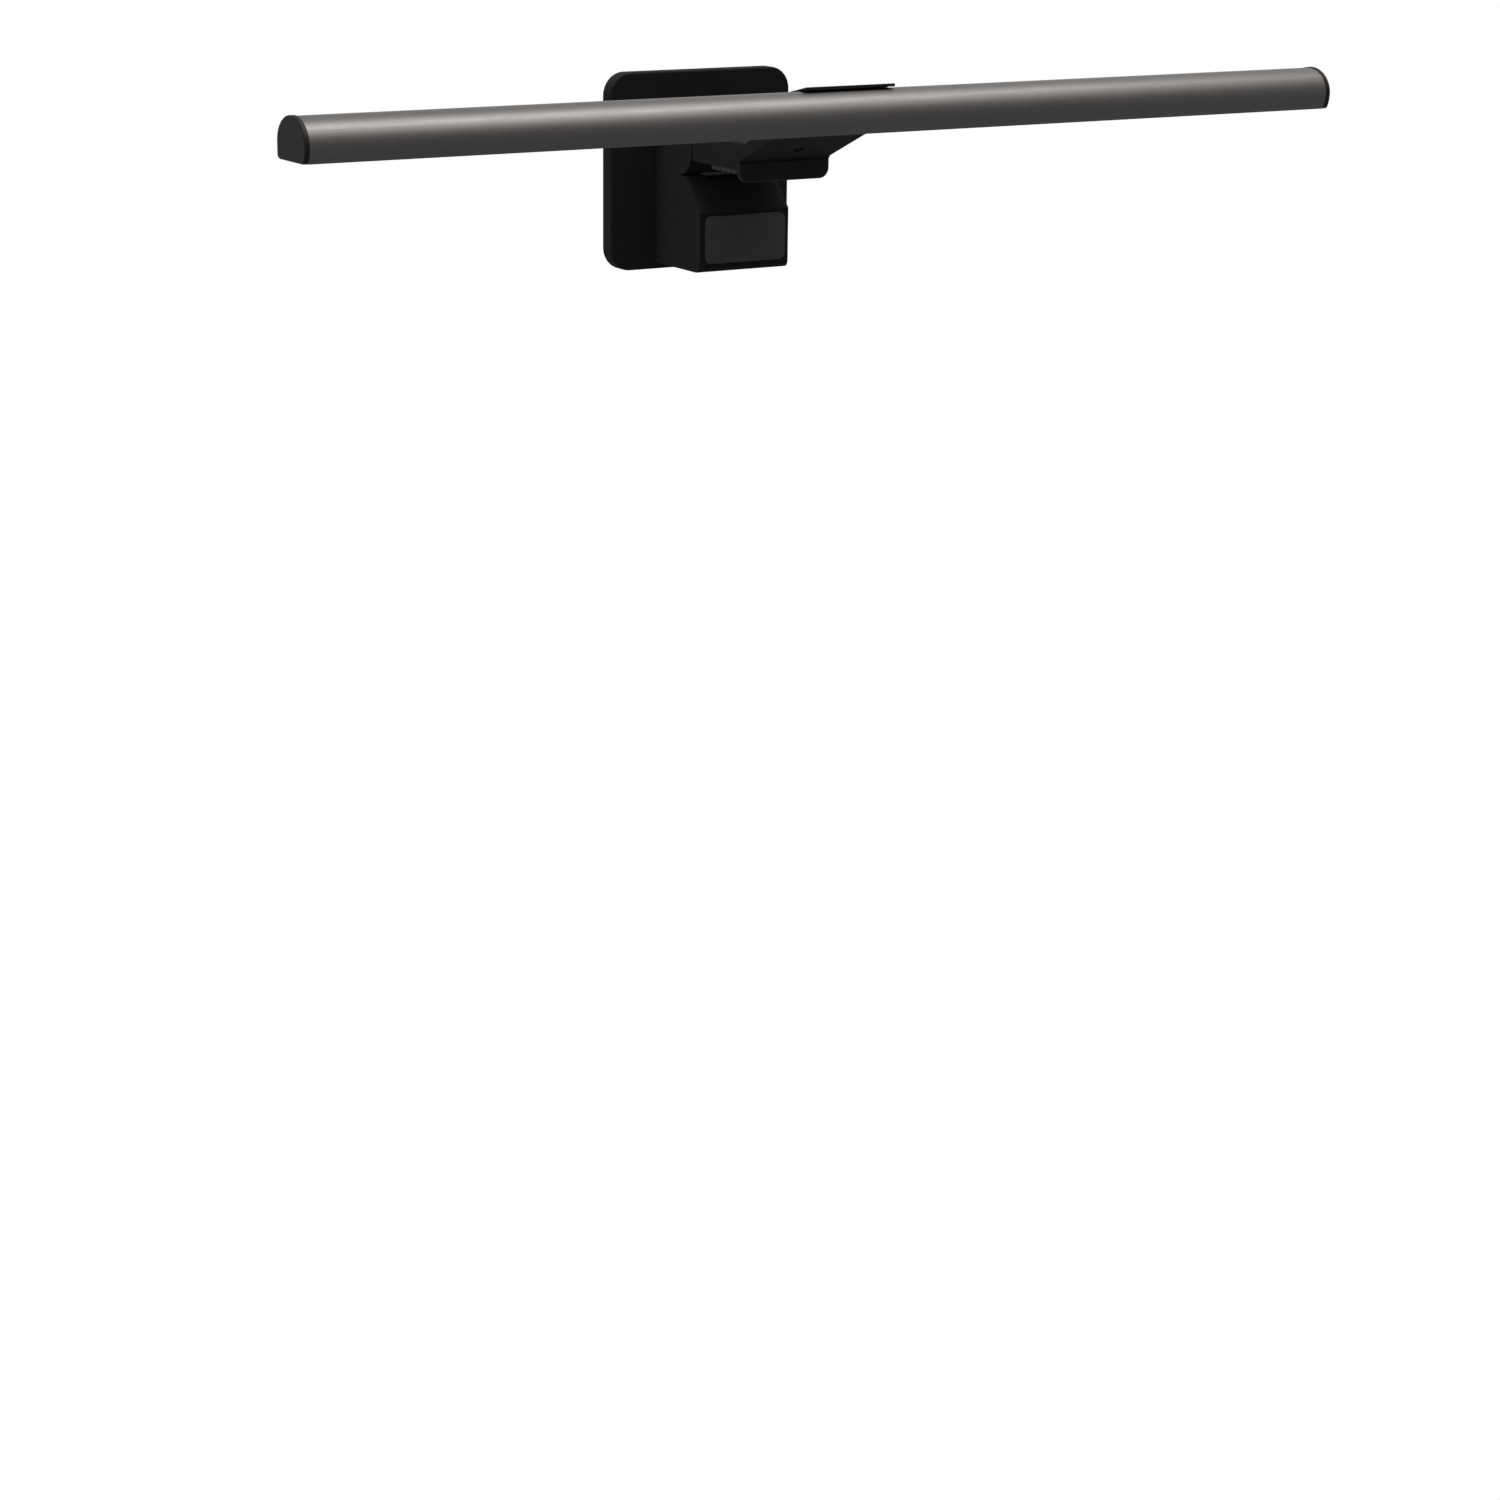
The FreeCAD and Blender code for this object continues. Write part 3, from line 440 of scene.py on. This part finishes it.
def screw_rings(length, head, shank, head_end):
    """Reach along the screw, radius and whether the ring is a hexagon, from the socket's floor to the tip."""
    socket = min(head * 0.48, shank * 0.95)
    depth = min(head_end * 0.75, length * 0.3)
    rings = [(depth, socket * 0.9, True), (0.0, socket, True)]
    rings += [(0.0, head * 0.86, False), (head_end * 0.16, head * 0.97, False)]
    rings += [(head_end * 0.4, head, False), (head_end, head, False), (head_end, shank, False)]
    turns = int((length - head_end - 0.4 * MM) / THREAD_PITCH)
    for turn in range(turns):
        reach = head_end + 0.2 * MM + turn * THREAD_PITCH
        rings += [(reach, shank, False), (reach + THREAD_PITCH * 0.5, shank * THREAD_ROOT, False)]
    return rings + [(length - 0.15 * MM, shank * 0.98, False), (length, shank * 0.7, False)]


def hexagon_share(turn):
    """Distance to a hexagon's edge at an angle, as a share of the distance to its corners."""
    sixth = math.pi / 3
    return math.cos(sixth / 2) / math.cos((turn + sixth / 2) % sixth - sixth / 2)


def round_points(middle, across, other, radius, sides, share=lambda turn: 1.0):
    """Points round a circle, drawn in where share is less than 1."""
    turns = [2 * math.pi * side / sides for side in range(sides)]
    return [tuple(middle + (across * math.cos(turn) + other * math.sin(turn)) * radius * share(turn))
            for turn in turns]


def make_screws(node, body):
    """Real screws in place of plain ones: eased head, hexagon socket and a cut thread."""
    vertices = []
    faces = []
    for points in islands(node):
        start, axis, *sizes = screw_frame(points)
        axis = Vector(axis).normalized()
        across = axis.orthogonal().normalized()
        other = axis.cross(across)
        rings = screw_rings(*sizes)
        base = len(vertices)
        for reach, radius, hexagon in rings:
            middle = Vector(start) + axis * reach
            if hexagon:
                vertices += round_points(middle, across, other, radius, SCREW_SIDES, hexagon_share)
            else:
                vertices += round_points(middle, across, other, radius, SCREW_SIDES)
        tip = len(vertices) - SCREW_SIDES
        faces += skin(base, len(rings), SCREW_SIDES)
        faces.append(tuple(base + side for side in reversed(range(SCREW_SIDES))))
        faces.append(tuple(tip + side for side in range(SCREW_SIDES)))
    new_piece(node + "_cut", vertices, faces, "screw_black", body, (node,))


def make_inlet_inside():
    """Tongue with its contacts inside the power inlet, which opens downwards."""
    low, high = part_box("usb_c_inlet")
    middle = (low + high) / 2
    half_x = (high.x - low.x) * 0.37
    half_y = (high.y - low.y) * 0.11
    bottom = low.z + 0.8 * MM
    top = high.z - 0.2 * MM
    vertices = []
    for z, share in ((bottom, 0.75), (bottom + 0.2 * MM, 1.0), (top, 1.0)):
        wide = half_x * (0.96 + 0.04 * share)
        for x, y in ((-1, -1), (1, -1), (1, 1), (-1, 1)):
            vertices.append((middle.x + x * wide, middle.y + y * half_y * share, z))
    faces = [(3, 2, 1, 0), (8, 9, 10, 11)] + skin(0, 3, 4)
    new_piece("inlet_tongue", vertices, faces, "component_black", "rear_leg")
    vertices = []
    faces = []
    pitch = half_x * 2 / (CONTACTS + 1)
    for side in (-1, 1):
        for index in range(CONTACTS):
            x = middle.x - half_x + pitch * (index + 1)
            buried = middle.y + side * half_y * 0.98
            proud = middle.y + side * (half_y + CONTACT_LIFT)
            faces += cuboid_faces(len(vertices))
            vertices += [(x + way * pitch * 0.28, y, z) for z in (bottom + 0.4 * MM, top - 0.6 * MM)
                         for y in (buried, proud) for way in (-1, 1)]
    new_piece("inlet_contacts", vertices, faces, "inlet_steel", "rear_leg")


def make_sensor_lens():
    """Shallow domed lens in front of the sensor, inside its ring."""
    low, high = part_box("sensor_ring")
    lean = math.radians(SENSOR_LEAN)
    outward = Vector((0, -math.sin(lean), -math.cos(lean)))
    across = Vector((1, 0, 0))
    other = outward.cross(across)
    ring_face = max(Vector(point) @ outward for point in islands("sensor_ring")[0])
    centre = (low + high) / 2
    centre += outward * (ring_face - centre @ outward - LENS_DEPTH)
    radius = SENSOR_RADIUS * 0.98
    vertices = []
    for rise, share in LENS_DOME:
        vertices += round_points(centre + outward * rise * MM, across, other, radius * share, LENS_SIDES)
    front = len(vertices) - LENS_SIDES
    faces = [tuple(range(LENS_SIDES)), tuple(front + side for side in reversed(range(LENS_SIDES)))]
    faces += [face[::-1] for face in skin(0, len(LENS_DOME), LENS_SIDES)]
    new_piece("sensor_lens", vertices, faces, "sensor_black", "clamp")


def make_stage():
    low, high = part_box("backlight_housing")
    mesh = bpy.data.meshes.new("floor")
    half = 30.0
    z = low.z - FLOOR_DROP
    corners = [(-half, -half, z), (half, -half, z), (half, half, z), (-half, half, z)]
    mesh.from_pydata(corners, [], [(0, 1, 2, 3)])
    floor = bpy.data.objects.new("floor", mesh)
    bpy.context.scene.collection.objects.link(floor)
    recipe = Recipe("floor_pale")
    recipe.mottled((0.18, 0.18, 0.18), 0.01, 2)
    recipe.set(Roughness=0.9, Specular_IOR_Level=0.1)
    glow = recipe.add("ShaderNodeEmission")
    glow.inputs["Color"].default_value = (1, 1, 1, 1)
    glow.inputs["Strength"].default_value = 1.0
    rays = recipe.add("ShaderNodeLightPath")
    mix = recipe.add("ShaderNodeMixShader")
    recipe.link(seen_directly(recipe.tree, rays), mix.inputs["Fac"])
    recipe.link(recipe.shader.outputs["BSDF"], mix.inputs[1])
    recipe.link(glow.outputs["Emission"], mix.inputs[2])
    recipe.link(mix.outputs["Shader"], recipe.output.inputs["Surface"])
    mesh.materials.append(recipe.material)


def seen_directly(tree, rays):
    """1 where a ray comes straight from the camera, or by way of gloss or glass."""
    total = None
    for name in ("Is Camera Ray", "Is Glossy Ray", "Is Transmission Ray"):
        if total is None:
            total = rays.outputs[name]
            continue
        join = tree.nodes.new("ShaderNodeMath")
        join.operation = "MAXIMUM"
        tree.links.new(total, join.inputs[0])
        tree.links.new(rays.outputs[name], join.inputs[1])
        total = join.outputs[0]
    return total


def make_world():
    world = bpy.data.worlds.new("studio")
    world.use_nodes = True
    tree = world.node_tree
    background = tree.nodes["Background"]
    background.inputs["Color"].default_value = (1, 1, 1, 1)
    rays = tree.nodes.new("ShaderNodeLightPath")
    level = tree.nodes.new("ShaderNodeMapRange")
    level.inputs["To Min"].default_value = 0.25
    level.inputs["To Max"].default_value = 1.0
    tree.links.new(seen_directly(tree, rays), level.inputs["Value"])
    tree.links.new(level.outputs["Result"], background.inputs["Strength"])
    bpy.context.scene.world = world


def area_lamp(name, place, turn, width, depth, watts):
    """Rectangular lamp; turn is its rotation in degrees, from facing straight down."""
    data = bpy.data.lights.new(name, "AREA")
    data.shape = "RECTANGLE"
    data.size = width
    data.size_y = depth
    data.energy = watts
    lamp = bpy.data.objects.new(name, data)
    bpy.context.scene.collection.objects.link(lamp)
    lamp.location = place
    lamp.rotation_euler = [math.radians(angle) for angle in turn]
    lamp.visible_camera = False
    return lamp


def make_lights():
    """Soft lamps at a plain level, and strips that only the sheen on metal and paint shows."""
    strips = (((0.12, -0.22, 1.23), 0.36, 68), ((0.12, -0.80, 1.05), 0.5, 20))
    for place, depth, watts in strips:
        strip = area_lamp("strip", place, (0, 0, 13), 1.75, depth, watts)
        strip.visible_diffuse = False
    above = area_lamp("above", (0, 0.1, 1.5), (0, 0, 0), 1.0, 1.0, 14)
    above.visible_glossy = False
    behind = area_lamp("behind", (0.2, 1.5, 0.3), (-80, 0, 0), 1.0, 1.0, 12)
    behind.visible_glossy = False
    area_lamp("left", (-1.5, 0.15, 0.4), (0, -75, 0), 0.9, 0.9, 5)


def make_camera():
    data = bpy.data.cameras.new("camera")
    data.sensor_width = 36.0
    data.lens = CAMERA_LENS
    data.clip_start = 0.01
    camera = bpy.data.objects.new("camera", data)
    bpy.context.scene.collection.objects.link(camera)
    turn = Euler((math.radians(90 - CAMERA_DIP), 0, -math.radians(CAMERA_TURN)), "XYZ").to_matrix().to_4x4()
    roll = Matrix.Rotation(math.radians(CAMERA_ROLL), 4, "Z")
    camera.matrix_world = Matrix.Translation(CAMERA_PLACE) @ turn @ roll
    bpy.context.scene.camera = camera


make_camera()
make_world()
make_lights()
make_stage()
dress_nodes()
make_bar()
make_screws("hook_screws", "clamp")
make_screws("cover_screws", "clamp")
make_screws("saddle_screws", "light_bar")
make_screws("leg_screws", "rear_leg")
make_inlet_inside()
make_sensor_lens()
bpy.context.scene.view_settings.view_transform = "Standard"
